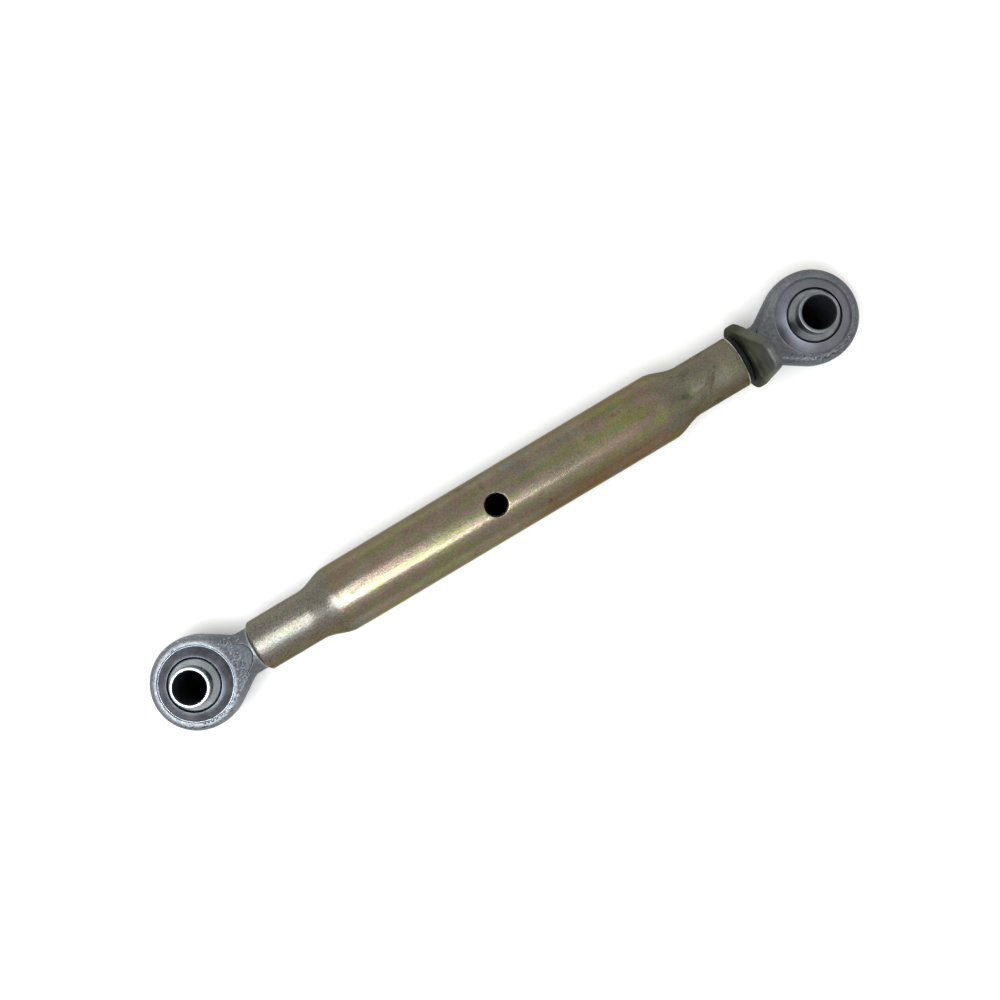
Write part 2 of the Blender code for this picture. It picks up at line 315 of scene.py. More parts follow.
yellowZincLook = {
    "body": (0.137, 0.130, 0.090),
    "neck": (0.126, 0.123, 0.090),
    "grainyNeck": (0.140, 0.136, 0.112),
    "grainyTo": (-0.112, -0.104),
    "dullFrom": (0.104, 0.124),
    "bandStretch": (16, 70, 70),
    "bandNoise": (1, 4, 0.6, 1.2),
    "bandShare": 0.58,
    "streakStretch": (60, 260, 260),
    "streakNoise": (1, 5, 0.65, 0.6),
    "hueStops": [
        (0.32, (0.66, 1.12, 1.26)),
        (0.38, (0.84, 1.16, 0.80)),
        (0.43, (1.16, 1.05, 0.56)),
        (0.47, (1.03, 1.00, 0.90)),
        (0.52, (1.28, 0.84, 0.96)),
        (0.57, (1.00, 1.00, 1.04)),
        (0.62, (0.80, 0.99, 1.48)),
        (0.67, (0.88, 1.18, 0.80)),
        (0.73, (1.22, 0.96, 0.62)),
    ],
    "hueStrength": 0.7,
    "leastHueStrength": 0.3,
    "rainbowGain": 0.4,
    "rainbowAt": (0.060, 0.090),
    "leftRainbowAt": (-0.098, -0.114),
    "blotchNoise": (55, 5, 0.62, 0.8),
    "blotchShade": (0.88, 1.12),
    "speckleNoise": (1300, 3, 0.65),
    "speckleShade": (0.66, 1.34),
    "speckleDepth": 0.06 * mm,
    "streakDepth": 0.10 * mm,
    "pitNoise": (1100, 2, 0.6),
    "pitFrom": (0.54, 0.62),
    "pitShade": 0.66,
    "peenedNoise": (1000, 3, 0.6),
    "peenedDepth": 0.16 * mm,
    "stainStretch": (60, 90, 90),
    "stainNoise": (1, 5, 0.62, 0.8),
    "stain": (0.040, 0.026, 0.012),
    "stainFrom": (0.62, 0.74, 0, 0.7),
    "neckStainFrom": (0.56, 0.66, 0, 0.5),
    "lowStain": (0.70, 0.58, 0.44),
    "lowStainAt": (-0.0105, -0.0150),
    "lowStainPast": (0.0, 0.03),
    "lowStainPatches": (0.35, 0.60, 0.3, 1),
    "lowNeckStainAt": (-0.0070, -0.0125),
    "wornEnd": (0.60, 0.57, 0.47),
    "wornEndWidth": 1.0 * mm,
    "wornEndPatches": (0.40, 0.55, 0.2, 0.9),
    "leftEndWear": 0.8,
    "roughness": (0.20, 0.28),
    "neckRoughness": (0.38, 0.52),
    "grainyRoughness": (0.24, 0.36),
    "edgeTint": (0.55, 0.53, 0.45),
}


def filmHue(points, alongX, streaks, grainy, dull):
    # Thin-film colours in streaks along the tube, strongest beside both swages
    look = yellowZincLook
    bands = noiseValue(stretched(points, look["bandStretch"]), *look["bandNoise"])
    share = look["bandShare"]
    film = plus(times(bands, share), times(streaks, 1 - share))
    gain = look["rainbowGain"]
    right = less(mapValue(alongX, *look["rainbowAt"], 0, gain), dull)
    left = less(mapValue(alongX, *look["leftRainbowAt"], 0, gain), grainy)
    strength = most(plus(plus(right, left), look["hueStrength"]), look["leastHueStrength"])
    return mixColours(strength, (1, 1, 1), rampColour(film, look["hueStops"]))


def lowSideStain(points, alongX, blotches, necks):
    # Brown stain low on the tube's right half and on both necks
    look = yellowZincLook
    acrossY = axisValue(points, "Y")
    onBody = times(mapValue(acrossY, *look["lowStainAt"]), mapValue(alongX, *look["lowStainPast"]))
    onNecks = times(mapValue(acrossY, *look["lowNeckStainAt"]), necks)
    return times(most(onBody, onNecks), mapValue(blotches, *look["lowStainPatches"]))


def wornEnds(alongX, streaks):
    look = yellowZincLook
    right = barrelLength / 2 - look["wornEndWidth"]
    left = barrelForm["leftTrim"] + look["wornEndWidth"] - barrelLength / 2
    atRight = mapValue(alongX, right, right + 0.3 * mm)
    atLeft = mapValue(alongX, left, left - 0.6 * mm, 0, look["leftEndWear"])
    return times(most(atRight, atLeft), mapValue(streaks, *look["wornEndPatches"]))


def yellowZinc():
    # Passivated zinc: a peened left neck, a duller right neck and dark stains
    look = yellowZincLook
    material, shader = newMaterial("yellow zinc", 1, look["edgeTint"])
    points = piecePoints(shader)
    alongX = axisValue(points, "X")
    streaks = noiseValue(stretched(points, look["streakStretch"]), *look["streakNoise"])
    speckle = noiseValue(points, *look["speckleNoise"])
    blotches = noiseValue(points, *look["blotchNoise"])
    grainy = mapValue(alongX, *look["grainyTo"], 1, 0)
    dull = mapValue(alongX, *look["dullFrom"])
    body = mixColours(dull, look["body"], look["neck"])
    body = mixColours(grainy, body, look["grainyNeck"])
    colour = mixColours(1.0, body, filmHue(points, alongX, streaks, grainy, dull), "MULTIPLY")
    pits = mapValue(noiseValue(points, *look["pitNoise"]), *look["pitFrom"], 1, look["pitShade"])
    pits = most(pits, less(1, grainy))
    shade = times(noiseRange(blotches, *look["blotchShade"]), noiseRange(speckle, *look["speckleShade"]))
    colour = shadeBy(colour, times(shade, pits))
    stains = noiseValue(stretched(points, look["stainStretch"]), *look["stainNoise"])
    neckStains = times(dull, mapValue(stains, *look["neckStainFrom"]))
    colour = mixColours(most(mapValue(stains, *look["stainFrom"]), neckStains), colour, look["stain"])
    under = lowSideStain(points, alongX, blotches, most(dull, grainy))
    colour = mixColours(under, colour, look["lowStain"], "MULTIPLY")
    colour = mixColours(wornEnds(alongX, streaks), colour, look["wornEnd"])
    roughness = noiseRange(streaks, *look["roughness"])
    for zone, key in ((dull, "neckRoughness"), (grainy, "grainyRoughness")):
        roughness = blendValues(zone, roughness, noiseRange(blotches, *look[key]))
    peened = times(noiseValue(points, *look["peenedNoise"]), grainy)
    normal = bumpNormal(peened, look["peenedDepth"])
    normal = bumpNormal(speckle, look["speckleDepth"], 0.8, normal)
    normal = bumpNormal(streaks, look["streakDepth"], 0.5, normal)
    setSurface(shader, colour, roughness, normal)
    return material


def paintedShadeInside(name, low, high):
    # Inside of the tube and the pin bores, dull; its near-black colour is painted shade
    material, shader = newMaterial(name, specular=0.15)
    grain = noiseValue(piecePoints(shader), 400, 4, 0.6)
    setSurface(shader, rampColour(grain, [(0.3, low), (0.7, high)]), noiseRange(grain, 0.6, 0.8))
    return material


forgedZincLook = {
    "patchNoise": (60, 5, 0.6, 0.3),
    "grainNoise": (620, 4, 0.62),
    "grainShare": 0.62,
    "grainDepth": 0.20 * mm,
    "fineNoise": (2200, 2, 0.5),
    "fineContrast": 0.24,
    "fineDepth": 0.03 * mm,
    "stops": [(0.32, (0.155, 0.163, 0.172)), (0.50, (0.215, 0.227, 0.240)), (0.68, (0.300, 0.315, 0.330))],
    "edgeFrom": (0.515, 0.56),
    "hollowFrom": (0.45, 0.495),
    "hollow": 0.45,
    "roughness": (0.34, 0.50),
    "edgeTint": (0.6, 0.62, 0.66),
    "neckFrom": (0.016, 0.026),
    "neckPaintedShade": 0.64,
    "collarFrom": (0.0392, 0.0398),
    "collarPaintedHighlight": 1.8,
    "padFrom": (0.014, 0.020),
    "padRadius": (0.0234, 0.0248),
    "padFacing": (0.955, 0.99),
    "padHeight": (7.9 * mm, 8.3 * mm, 8.8 * mm, 9.2 * mm),
    "glintNoise": (900, 3, 0.6),
    "glintFrom": (0.55, 0.62),
    "glintsTo": (0.0325, 0.0300),
    "markRadius": (22.6 * mm, 23.2 * mm, 26.0 * mm, 27.0 * mm),
    "markFrom": (12 * mm, 18 * mm),
    "markStretch": (1, 2.2, 1),
    "markNoise": (420, 3, 0.6),
    "markLevels": (0.54, 0.60),
    "markShade": 0.30,
}

# Left eye's copy of the forged zinc: its higher shade and bright edge colour are painted light, the left
# end being the better lit
leftForgedLook = {
    "shade": 0.72,
    "padShade": 0.19,
    "edge": (0.55, 0.57, 0.60),
    "contrast": 1.2,
    "markSide": -1,
}

# Right eye's copy: its lower shade and dark edge colour are painted shade, the right end being less lit;
# its weaker grain is its own
rightForgedLook = {
    "shade": 0.54,
    "padShade": 0.39,
    "edge": (0.13, 0.135, 0.15),
    "contrast": 0.5,
    "markSide": 1,
}


def flatPaintedShade(points, alongX, radius):
    # 1 on the flat between the ring and the neck where it faces straight up or down: painted shade that
    # darkens it, left open by painted glints in its rough part
    look = forgedZincLook
    height = mathValue("ABSOLUTE", axisValue(points, "Z"))
    facing = mathValue("ABSOLUTE", axisValue(surfaceValue(points, "Normal"), "Z"))
    glints = mapValue(noiseValue(points, *look["glintNoise"]), *look["glintFrom"])
    glints = times(glints, mapValue(alongX, *look["glintsTo"]))
    place = times(bandValue(height, *look["padHeight"]), mapValue(alongX, *look["padFrom"]))
    flat = mapValue(facing, *look["padFacing"])
    return times(place, flat, less(1, glints), mapValue(radius, *look["padRadius"]))


def toolMarks(points, radius, markSide):
    # Dark tool marks beside the ring, on its side markSide along Y
    look = forgedZincLook
    onSide = mapValue(times(axisValue(points, "Y"), markSide), *look["markFrom"])
    marks = noiseValue(stretched(points, look["markStretch"]), *look["markNoise"])
    return times(bandValue(radius, *look["markRadius"]), onSide, mapValue(marks, *look["markLevels"]))


def forgedZinc(name, ownLook):
    look = forgedZincLook
    material, shader = newMaterial(name, 1, look["edgeTint"])
    points = piecePoints(shader)
    alongX = axisValue(points, "X")
    radius = radiusValue(points)
    patches = noiseValue(points, *look["patchNoise"])
    grain = noiseValue(points, *look["grainNoise"])
    fine = noiseValue(points, *look["fineNoise"])
    share = look["grainShare"]
    colour = rampColour(plus(times(grain, share), times(patches, 1 - share)), look["stops"])
    pointed = surfaceValue(points, "Pointiness")
    # Pointy edges take the eye's edge colour: a painted highlight on the left eye's rounded edges, a
    # darker edge on the right
    colour = mixColours(mapValue(pointed, *look["edgeFrom"]), colour, ownLook["edge"])
    spread = look["fineContrast"] * ownLook["contrast"]
    speckle = noiseRange(fine, 1 - spread, 1 + spread)
    # Hollows are darkened: painted shade in dents and creases
    speckle = times(speckle, mapValue(pointed, *look["hollowFrom"], look["hollow"], 1))
    marks = toolMarks(points, radius, ownLook["markSide"])
    speckle = times(speckle, mapValue(marks, 0, 1, 1, look["markShade"]))
    # shade: the eye's overall brightness, painted light that differs between the two eyes
    shade = ownLook["shade"]
    # Painted shade darkens the eye towards its neck, and a painted highlight lightens the collar beyond
    # the face's end
    onNeck = mapValue(alongX, *look["neckFrom"], shade, shade * look["neckPaintedShade"])
    around = times(onNeck, mapValue(alongX, *look["collarFrom"], 1, look["collarPaintedHighlight"]))
    # zone: the eye's painted light and shade, with the flat's painted shade blended in
    zone = blendValues(flatPaintedShade(points, alongX, radius), around, ownLook["padShade"])
    normal = bumpNormal(grain, look["grainDepth"] * ownLook["contrast"], 0.7)
    normal = bumpNormal(fine, look["fineDepth"], 0.5, normal)
    colour = shadeBy(colour, times(speckle, zone))
    setSurface(shader, colour, noiseRange(patches, *look["roughness"]), normal)
    return material


machinedLook = {
    "patchNoise": (110, 4, 0.6),
    "fineNoise": (1700, 2, 0.5),
    "fineShade": (0.93, 1.07),
    "fineDepth": 0.02 * mm,
    "toolPitch": 0.22 * mm,
    "toolDepth": 0.012 * mm,
}


def machinedZinc(name, low, high, roughLow, roughHigh):
    # Turned surface: fine rings about the piece's own Z axis, and light patches
    look = machinedLook
    material, shader = newMaterial(name, 1)
    points = piecePoints(shader)
    patches = noiseValue(points, *look["patchNoise"])
    fine = noiseValue(points, *look["fineNoise"])
    along = plus(radiusValue(points), axisValue(points, "Z"))
    waves = mathValue("SINE", times(along, tau / look["toolPitch"]))
    colour = rampColour(patches, [(0.34, low), (0.66, high)])
    colour = shadeBy(colour, noiseRange(fine, *look["fineShade"]))
    normal = bumpNormal(waves, look["toolDepth"], 0.5)
    normal = bumpNormal(fine, look["fineDepth"], 0.4, normal)
    setSurface(shader, colour, noiseRange(patches, roughLow, roughHigh), normal)
    return material


castZincLook = {
    "patchNoise": (90, 5, 0.62, 0.4),
    "grainNoise": (800, 3, 0.6),
    "grainShade": (0.78, 1.22),
    "grainDepth": 0.14 * mm,
    "stops": [(0.34, (0.052, 0.054, 0.040)), (0.50, (0.082, 0.083, 0.060)), (0.66, (0.128, 0.128, 0.098))],
    "edge": (0.090, 0.092, 0.090),
    "edgeFrom": (0.52, 0.60),
    "worn": (0.085, 0.087, 0.085),
    "wornFrom": (0.026, 0.050, 0, 1.5),
    "paintedRingShadow": (0.40, 1.0),
    "discTo": (0.017, 0.025),
    "roughness": (0.42, 0.60),
    "metallic": 0.9,
    "edgeTint": (0.55, 0.55, 0.5),
}


def castZinc():
    # Dull olive zinc over a cast skin, worn grey towards the lever's tip; painted shadow darkens the disc
    # near the seal ring
    look = castZincLook
    material, shader = newMaterial("olive zinc", look["metallic"], look["edgeTint"])
    points = piecePoints(shader)
    patches = noiseValue(points, *look["patchNoise"])
    grain = noiseValue(points, *look["grainNoise"])
    height = axisValue(points, "Z")
    worn = times(mapValue(height, *look["wornFrom"]), patches)
    colour = mixColours(worn, rampColour(patches, look["stops"]), look["worn"])
    # Painted shadow next to the seal ring: darker close to the axis
    paintedRingShadow = mapValue(height, *look["discTo"], *look["paintedRingShadow"])
    colour = shadeBy(colour, times(noiseRange(grain, *look["grainShade"]), paintedRingShadow))
    pointed = surfaceValue(points, "Pointiness")
    colour = mixColours(mapValue(pointed, *look["edgeFrom"]), colour, look["edge"])
    normal = bumpNormal(grain, look["grainDepth"], 0.6)
    setSurface(shader, colour, noiseRange(patches, *look["roughness"]), normal)
    return material


rubberLook = {
    "stops": [(0.3, (0.003, 0.003, 0.004)), (0.7, (0.007, 0.007, 0.010))],
    "grainNoise": (900, 4, 0.6),
    "grainDepth": 0.05 * mm,
    "roughness": (0.5, 0.7),
    "specular": 0.12,
}


def blackRubber():
    look = rubberLook
    material, shader = newMaterial("black rubber", specular=look["specular"])
    grain = noiseValue(piecePoints(shader), *look["grainNoise"])
    normal = bumpNormal(grain, look["grainDepth"], 0.5)
    setSurface(shader, rampColour(grain, look["stops"]), noiseRange(grain, *look["roughness"]), normal)
    return material


# Barrel: one swaged tube with a hole for a tommy bar

barrelForm = {
    "neckRadius": 16.0 * mm,
    "leftTrim": 1.7 * mm,
    "leftNeck": 37.6 * mm,
    "rightNeck": 33.7 * mm,
    "swage": 20.7 * mm,
    "wall": 4.0 * mm,
    "threadBore": 11.3 * mm,
    "leftEndRound": 2.2 * mm,
    "rightEndRound": 0.5 * mm,
    "boreChamfer": 0.8 * mm,
    "barHoleRadius": 7.0 * mm,
    "holeEdge": 0.5 * mm,
    "cutterRise": 4.0 * mm,
    "insideShare": 0.88,
    "waviness": 0.09 * mm,
    "waveScale": (26, 55, 55),
    "nick": {"x": -146 * mm, "y": 12.0 * mm, "length": 2.6 * mm, "width": 0.7 * mm, "depth": 0.3 * mm},
    "station": 1.6 * mm,
    "insideSteps": 60,
    "holeSteps": 96,
    "roundSteps": 168,
}


def swageRadius(x):
    # Outside radius of the barrel at a distance x from its left end
    form = barrelForm
    fromEnd = x if x < barrelLength / 2 else barrelLength - x
    neck = form["leftNeck"] if x < barrelLength / 2 else form["rightNeck"]
    share = min(max((fromEnd - neck) / form["swage"], 0), 1)
    return form["neckRadius"] + (barrelRadius - form["neckRadius"]) * (1 - cos(pi * share)) / 2


def barrelOutline():
    form = barrelForm
    left = form["leftEndRound"]
    right = form["rightEndRound"]
    neck = form["neckRadius"]
    start = form["leftTrim"]
    straight = barrelLength - start - left - right
    outline = arcPoints(neck - left, start + left, left, -pi / 2, 0, 8)
    count = round(straight / form["station"])
    for i in range(1, count):
        x = start + left + straight * i / count
        outline.append((swageRadius(x), x))
    outline += arcPoints(neck - right, barrelLength - right, right, 0, pi / 2, 4)
    bore = form["threadBore"]
    chamfer = form["boreChamfer"]
    outline.append((bore + chamfer, barrelLength))
    outline.append((bore, barrelLength - chamfer))
    count = form["insideSteps"]
    for i in range(1, count):
        x = barrelLength - chamfer - (barrelLength - start - 2 * chamfer) * i / count
        inside = (barrelRadius - form["wall"] - bore) * (swageRadius(x) - neck) / (barrelRadius - neck)
        outline.append((bore + inside, x))
    outline.append((bore, start + chamfer))
    outline.append((bore + chamfer, start))
    return outline


def barHoleCutter():
    # Follows the tube's round surface, so that the worn edge of the hole has one width all round
    form = barrelForm
    steps = form["holeSteps"]
    hole = form["barHoleRadius"]
    edge = form["holeEdge"]
    rings = [(hole + edge, form["cutterRise"])]
    for radius, lift in arcPoints(hole + edge, -edge, edge, pi / 2, pi, 4):
        rings.append((radius, lift))
    sections = []
    wallSection = len(rings) - 1
    for side, order in ((1, rings), (-1, rings[::-1])):
        for radius, lift in order:
            section = []
            for i in range(steps):
                x = radius * cos(tau * i / steps)
                y = radius * sin(tau * i / steps)
                section.append((x, y, side * (sqrt(barrelRadius**2 - y * y) + lift)))
            sections.append(section)
    bm = loftedMesh(sections)
    bm.faces.ensure_lookup_table()
    # The hole's wall takes the barrel's second material, the near-black painted shade of the tube inside
    for face in bm.faces[wallSection * steps:(wallSection + 1) * steps]:
        face.material_index = 1
    return bm


def barrelWaves(point, normal):
    # Slight unevenness of a drawn and swaged tube, always inward; the bore stays as it is
    form = barrelForm
    if hypot(point.y, point.z) < form["neckRadius"] - form["leftEndRound"] - 0.2 * mm:
        return 0
    wave = noise.noise(point * Vector(form["waveScale"]))
    x = point.x + barrelLength / 2
    fromEnd = min(x, barrelLength - x)
    swaged = 1 - ease((fromEnd - form["leftNeck"] - form["swage"]) / form["swage"])
    amount = form["waviness"] * (0.5 + 1.1 * swaged)
    nick = form["nick"]
    near = hypot((point.x - nick["x"]) / nick["length"], (point.y - nick["y"]) / nick["width"])
    dent = nick["depth"] * max(1 - near, 0) if point.z > 0 else 0
    return -amount * (0.5 + 0.5 * wave) - dent


def buildBarrel():
    form = barrelForm
    bm = turnedMesh(barrelOutline(), form["roundSteps"])
    bm.transform(alongLink @ Matrix.Translation((0, 0, -barrelLength / 2)))
    depth = form["wall"] * form["insideShare"]
    markFaces(bm, lambda at: hypot(at.y, at.z) < swageRadius(at.x + barrelLength / 2) - depth)
    centre = ((barrelBox[0].x + barrelBox[1].x) / 2, 0, axisHeight)
    # The tube's inside and the bar hole's wall take a near-black colour: painted shade
    insideZinc = paintedShadeInside("tube inside", (0.012, 0.011, 0.009), (0.024, 0.022, 0.018))
    barrel = newPiece("swaged_barrel", bm, centre, [yellowZinc(), insideZinc])
    pushAlongNormals(barrel, barrelWaves)
    cutWith(barrel, newPiece("bar_hole_cutter", barHoleCutter(), centre))
    barrel.data.set_sharp_from_angle(angle=radians(32))
    seatOnBody(barrel, "barrel", "barrel_tube")


# Eye forging: eye, neck and threaded shank in one piece

eyeForm = {
    "thickness": 17.0 * mm,
    "edgeRound": 4.0 * mm,
    "flankAngle": radians(33.5),
    "flankFillet": 18.0 * mm,
    "neckRadius": 13.5 * mm,
    "neckDraft": 0.35 * mm,
    "neckStart": 31.0 * mm,
    "shoulderRound": 0.6 * mm,
    "voxel": 0.34 * mm,
    "smoothing": 5,
    "flashWidth": 1.1 * mm,
    "flashHeight": 0.16 * mm,
    "coarseGrain": 330,
    "fineGrain": 900,
    "ridgeGrain": 520,
    "roughZone": (23.5 * mm, 31.5 * mm),
    "smoothFrom": 30.5 * mm,
    "zoneFade": 2.0 * mm,
    "stakeReach": 2.2,
    "stakeBand": 1.2 * mm,
}

leftEyeForm = {
    "grain": 0.10 * mm,
    "roughZoneGrain": 0.36 * mm,
    "shoulder": 40.7 * mm,
    "faceEnd": 39.6 * mm,
    "faceEndSlope": 1.8 * mm,
    "faceEndRadius": 8.5 * mm,
    "boreRadius": 22.75 * mm,
    "boreChamfer": 0.45 * mm,
    "stakes": [
        (95, 23.3, 0.55, 0.55),
        (252, 23.4, 0.45, 0.60),
        (258, 23.3, 0.50, 0.50),
        (264, 23.4, 0.50, 0.60),
        (271, 23.3, 0.45, 0.50),
        (279, 23.4, 0.50, 0.60),
        (285, 23.3, 0.40, 0.45),
    ],
}

rightEyeForm = {
    "grain": 0.05 * mm,
    "roughZoneGrain": 0.08 * mm,
    "shoulder": 39.0 * mm,
    "faceEnd": 37.2 * mm,
    "faceEndSlope": 0,
    "faceEndRadius": 12.5 * mm,
    "boreRadius": 22.66 * mm,
    "boreChamfer": 0.1 * mm,
    "stakes": [
        (62, 24.6, 0.20, 0.50),
        (79, 25.2, 0.22, 0.60),
        (98, 25.0, 0.20, 0.45),
        (118, 24.0, 0.30, 0.50),
    ],
}

threadForm = {
    "radius": 11.0 * mm,
    "pitch": 2.5 * mm,
    "depth": 1.35 * mm,
    "relief": 2.6 * mm,
    "tipChamfer": 2.0 * mm,
    "roundSteps": 64,
}


def eyeSection(height, ownForm):
    form = eyeForm
    straight = form["thickness"] / 2 - form["edgeRound"]
    over = min(max(abs(height) - straight, 0), form["edgeRound"])
    disc = eyeRadius - form["edgeRound"] + sqrt(form["edgeRound"] ** 2 - over**2)
    neck = sqrt((form["neckRadius"] - form["neckDraft"]) ** 2 - height**2)
    tilt = form["flankAngle"]
    fillet = form["flankFillet"]
    filletX = (disc + fillet - (neck + fillet) * cos(tilt)) / sin(tilt)
    half = arcPoints(0, 0, disc, pi, pi / 2 - tilt, 72)
    half += arcPoints(filletX, neck + fillet, fillet, -pi / 2 - tilt, -pi / 2, 20)
    half.append((ownForm["faceEnd"], neck))
    half += [(x, -y) for x, y in reversed(half[1:])]
    return [(x, y, height) for x, y in half]


def eyeLevels():
    form = eyeForm
    straight = form["thickness"] / 2 - form["edgeRound"]
    upper = [straight / 2]
    for i in range(9):
        upper.append(straight + form["edgeRound"] * sin(pi / 2 * i / 8))
    upper.append(form["thickness"] / 2 + 1 * mm)
    return [-level for level in reversed(upper)] + [0] + upper


def neckOutline(ownForm):
    form = eyeForm
    edge = form["shoulderRound"]
    shoulder = ownForm["shoulder"]
    outline = [(0, form["neckStart"]), (form["neckRadius"], form["neckStart"])]
    outline += arcPoints(form["neckRadius"] - edge, shoulder - edge, edge, 0, pi / 2, 5)
    outline.append((0, shoulder))
    return outline


def faceCutter(side, ownForm):
    form = eyeForm
    radius = ownForm["faceEndRadius"]
    centreX = ownForm["faceEnd"] - radius
    reach = eyeRadius + 2 * mm
    turn = pi / 2 - form["flankAngle"]
    arc = arcPoints(centreX, 0, radius, -turn, turn, 48)
    backX = arc[-1][0] - (reach - arc[-1][1]) / tan(form["flankAngle"])
    outline = [(backX, reach), (-reach, reach), (-reach, -reach), (backX, -reach)] + arc
    half = form["thickness"] / 2
    top = form["neckRadius"] + 2 * mm
    levels = ((half, -ownForm["faceEndSlope"]), (top, 0))
    return loftedMesh([[(x + shift, y, side * z) for x, y in outline] for z, shift in levels])


def forgedSkin(point, normal, ownForm):
    # Scale-pitted forging: grain all over, a rougher zone beside the ring and a trimmed flash line
    form = eyeForm
    coarse = noise.noise(point * form["coarseGrain"])
    fine = noise.noise(point * form["fineGrain"] + Vector((7, 3, 1)))
    onFace = ease((abs(normal.z) - 0.7) / 0.25)
    start, end = form["roughZone"]
    fade = form["zoneFade"]
    rough = ease((point.x - start) / fade) * ease((end - point.x) / fade) * onFace
    smooth = ease((point.x - form["smoothFrom"]) / fade) * onFace
    amount = ownForm["grain"] * (0.55 * coarse + 0.45 * fine) * (1 - 0.8 * smooth)
    ridged = 1 - 2 * abs(noise.noise(point * form["ridgeGrain"] + Vector((2, 9, 4))))
    amount += ownForm["roughZoneGrain"] * rough * ridged
    side = ease((0.35 - abs(normal.z)) / 0.3)
    flash = max(1 - (point.z / form["flashWidth"]) ** 2, 0)
    if point.x < form["neckStart"]:
        amount += form["flashHeight"] * side * flash
    return amount


def eyeBoreCutter(ownForm):
    end = eyeForm["thickness"] / 2 + 2 * mm
    bore = ownForm["boreRadius"]
    flare = bore + ownForm["boreChamfer"] + 2 * mm
    start = eyeForm["thickness"] / 2 - ownForm["boreChamfer"]
    outline = [(0, -end), (flare, -end), (bore, -start), (bore, start), (flare, end), (0, end)]
    return turnedMesh(outline, 192, closed=False)


def addThread(bm, start, tip, hand):
    # Helical ridge with flat crest and root, between an undercut at the shoulder and a chamfered tip
    form = threadForm
    crest = form["radius"]
    root = crest - form["depth"]
    shares = [(0.0, crest), (0.14, crest), (0.46, root), (0.64, root), (0.96, crest)]
    turns = int((tip - start) / form["pitch"]) + 2
    steps = form["roundSteps"]
    rows = []
    for turn in range(-1, turns):
        for share, radius in shares:
            row = []
            for i in range(steps + 1):
                x = start + (turn + share + hand * i / steps) * form["pitch"]
                here = radius
                if x < start + form["relief"]:
                    here = root
                here = min(here, crest - form["tipChamfer"] + max(tip - x, 0))
                x = min(max(x, start - 0.5 * mm), tip)
                angle = tau * i / steps
                row.append(bm.verts.new((x, here * cos(angle), here * sin(angle))))
            rows.append(row)
    for lower, upper in zip(rows, rows[1:]):
        for i in range(steps):
            bm.faces.new((lower[i], lower[i + 1], upper[i + 1], upper[i]))
    tipRadius = crest - form["tipChamfer"]
    rim = arcPoints(0, 0, tipRadius, 0, tau, steps)[:-1]
    bm.faces.new([bm.verts.new((tip, y, z)) for y, z in rim])


def shankPiece(hand, shoulder):
    bm = bmesh.new()
    addThread(bm, shoulder, shankTip, hand)
    bmesh.ops.remove_doubles(bm, verts=bm.verts, dist=0.02 * mm)
    bmesh.ops.dissolve_degenerate(bm, dist=0.01 * mm, edges=bm.edges)
    bmesh.ops.recalc_face_normals(bm, faces=bm.faces)
    return bm


def stakeDents(eye, stakes):
    # Punch marks beside the seat ring: angle in degrees, then radius, depth and half width in mm
    form = eyeForm
    mesh = eye.data
    marks = [(radians(angle), *(size * mm for size in sizes)) for angle, *sizes in stakes]
    for vert in mesh.vertices:
        point = vert.co
        if abs(point.z) < form["thickness"] / 2 - form["stakeBand"] or point.x > form["neckStart"]:
            continue
        for angle, radius, depth, width in marks:
            far = hypot(point.x - radius * cos(angle), point.y - radius * sin(angle))
            reach = form["stakeReach"] * width
            if far < reach:
                side = 1 if point.z > 0 else -1
                vert.co.z -= side * depth * (1 - ease(far / reach))
    mesh.update()


def buildEye(end, ballX, turn, hand, ownForm, skin, rimMaterial):
    form = eyeForm
    name = f"{end}_forged_eye"
    rough = newPiece(name, loftedMesh([eyeSection(level, ownForm) for level in eyeLevels()]))
    neck = turnedMesh(neckOutline(ownForm), 120, closed=False)
    neck.transform(alongLink)
    cutWith(rough, newPiece("neck_guide", neck), "UNION")
    for side in (1, -1):
        cutWith(rough, newPiece("face_cutter", faceCutter(side, ownForm)))
    remesh = rough.modifiers.new("even grain", "REMESH")
    remesh.mode = "VOXEL"
    remesh.voxel_size = form["voxel"] * 1
    smoothing = rough.modifiers.new("die corners", "SMOOTH")
    smoothing.factor = 0.5
    smoothing.iterations = form["smoothing"]
    applyModifiers(rough)
    pushAlongNormals(rough, lambda point, normal: forgedSkin(point, normal, ownForm))
    cutWith(rough, newPiece("eye_bore_cutter", eyeBoreCutter(ownForm)))
    stakeDents(rough, ownForm["stakes"])
    bm = bmesh.new()
    bm.from_mesh(rough.data)
    rim = ownForm["boreRadius"] + ownForm["boreChamfer"] + 0.05 * mm
    markFaces(bm, lambda at: hypot(at.x, at.y) < rim)
    shank = shankPiece(hand, ownForm["shoulder"])
    threadMesh = bpy.data.meshes.new("thread")
    shank.to_mesh(threadMesh)
    shank.free()
    before = len(bm.faces)
    bm.from_mesh(threadMesh)
    bm.faces.ensure_lookup_table()
    for face in bm.faces[before:]:
        face.material_index = 1
    bpy.data.objects.remove(rough, do_unlink=True)
    eye = newPiece(name, bm, (ballX, 0, axisHeight), [skin, rimMaterial])
    eye.rotation_euler.z = turn
    seatOnBody(eye, f"{end}_end", f"{end}_eye_forging")


# Seat rings: two in each eye, with a spherical inside that holds the ball

seatForm = {
    "wall": 3.0 * mm,
    "runGap": 0.3 * mm,
    "lipRadius": 16.2 * mm,
    "lipHeight": 12.0 * mm,
    "lipLand": 0.35 * mm,
    "rimHeight": 8.1 * mm,
    "edge": 0.2 * mm,
    "rimWidth": 0.35 * mm,
    "coneSteps": 16,
    "roundSteps": 192,
}


